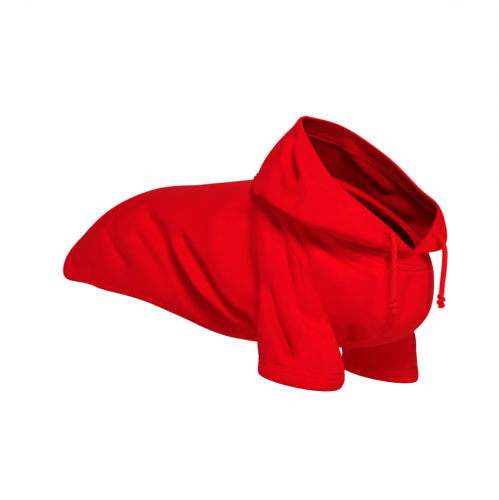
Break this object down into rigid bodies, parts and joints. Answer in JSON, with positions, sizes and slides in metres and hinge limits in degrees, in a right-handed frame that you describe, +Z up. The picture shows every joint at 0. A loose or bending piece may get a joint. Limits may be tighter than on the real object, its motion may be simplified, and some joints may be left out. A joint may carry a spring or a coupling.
{
  "type": "dog hoodie",
  "caption": "Short-sleeved pet hoodie in plain red fleece, worn shape, with a turned-back hood on the shoulders, a wide casing with knotted drawcords, and stitched hems.",
  "frame": {"origin": "on the withers, in the mid-plane under the cloth at the back of the neck seam, where the garment sits on the animal", "axes": "+X along the body towards the wearer's head, +Y to the wearer's left, +Z up"},
  "size_m": [0.4011, 0.194, 0.2417],
  "materials": {
    "fleece": "matte red sweatshirt fleece",
    "fleece_band": "matte red sweatshirt fleece, double layer with twin-needle stitching",
    "cord": "matte red braided cotton cord"
  },
  "bodies": {
    "root": {"torso": "fleece", "body_hem": "fleece_band", "neck_band": "fleece_band", "sleeve_left": "fleece", "sleeve_right": "fleece", "sleeve_hem_left": "fleece_band", "sleeve_hem_right": "fleece_band", "hood": "fleece", "hood_casing": "fleece_band", "cord_left": "cord", "cord_right": "cord", "knot_left": "cord", "knot_right": "cord"}
  },
  "joints": []
}
